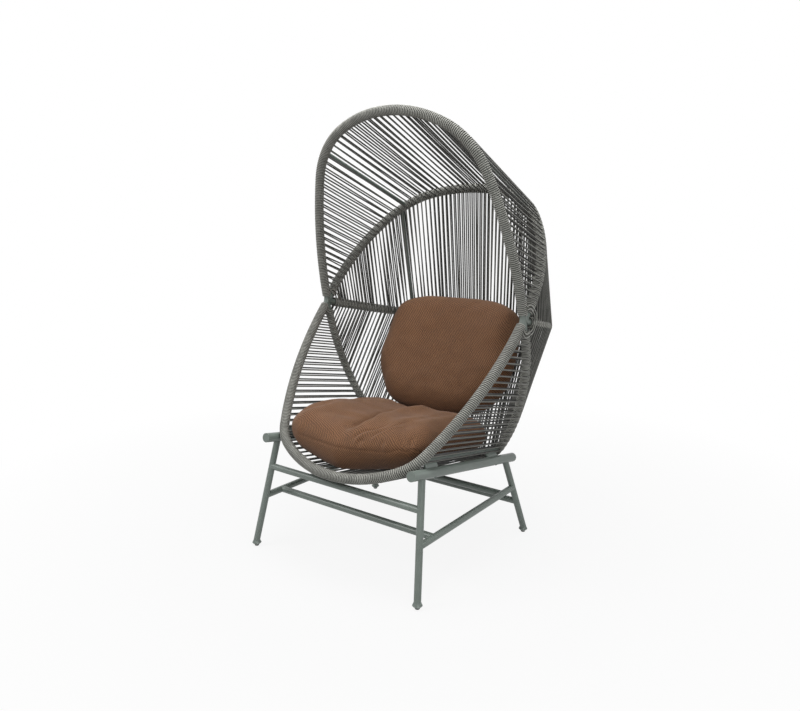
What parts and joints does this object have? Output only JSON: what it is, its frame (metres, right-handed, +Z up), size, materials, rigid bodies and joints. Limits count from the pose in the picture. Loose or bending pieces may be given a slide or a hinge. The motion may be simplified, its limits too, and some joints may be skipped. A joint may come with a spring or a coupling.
{
  "type": "pod lounge chair",
  "caption": "Hooded pod lounge chair: a rope-wound tube shell with woven strands, loose seat and back cushions, and a splayed four-legged tube base.",
  "frame": {"origin": "on the floor, at the centre of the bounding box's underside", "axes": "+Z up, the sitter faces -Y, +X is the right side as one looks at the chair's front"},
  "size_m": [0.9718, 0.9778, 1.6359],
  "materials": {
    "frame_paint": "satin",
    "rope": "matt braided cord",
    "cushion_cloth": "woven twill",
    "glide": "matt",
    "bolt": "satin"
  },
  "bodies": {
    "chair": {"rail_left": "frame_paint", "rail_right": "frame_paint", "rail_end_caps": "frame_paint", "leg_front_left": "frame_paint", "leg_front_right": "frame_paint", "leg_rear_left": "frame_paint", "leg_rear_right": "frame_paint", "front_stretcher": "frame_paint", "rear_stretcher": "frame_paint", "side_stretcher_left": "frame_paint", "side_stretcher_right": "frame_paint", "cross_stretcher_front": "frame_paint", "cross_stretcher_rear": "frame_paint", "foot_collars": "frame_paint", "foot_glides": "glide", "saddles": "frame_paint", "saddle_bolts": "bolt", "hood_rim_tube": "frame_paint", "seat_rim_tube": "frame_paint", "side_elbow_left": "frame_paint", "side_elbow_right": "frame_paint", "upper_arch_tube": "frame_paint", "belt_tube": "frame_paint", "lower_arch_tube": "frame_paint", "hood_rim_wrap": "rope", "seat_rim_wrap": "rope", "upper_arch_wrap": "rope", "belt_wrap": "rope", "lower_arch_wrap": "rope", "hood_struts": "frame_paint", "back_struts": "frame_paint", "seat_struts": "frame_paint", "hood_outer_strands": "rope", "hood_inner_strands": "rope", "upper_back_outer_strands": "rope", "upper_back_inner_strands": "rope", "lower_back_outer_strands": "rope", "lower_back_inner_strands": "rope", "seat_outer_strands": "rope", "seat_inner_strands": "rope"},
    "seat_cushion": {"seat_cushion": "cushion_cloth"},
    "back_cushion": {"back_cushion": "cushion_cloth"}
  },
  "joints": [
    {"name": "seat_cushion_lift", "type": "slide", "parent": "chair", "child": "seat_cushion", "axis": [0, -0.7193, 0.6947], "range_m": [0, 0.45]},
    {"name": "back_cushion_lift", "type": "slide", "parent": "seat_cushion", "child": "back_cushion", "axis": [0, -0.7193, 0.6947], "range_m": [0, 0.45]}
  ]
}
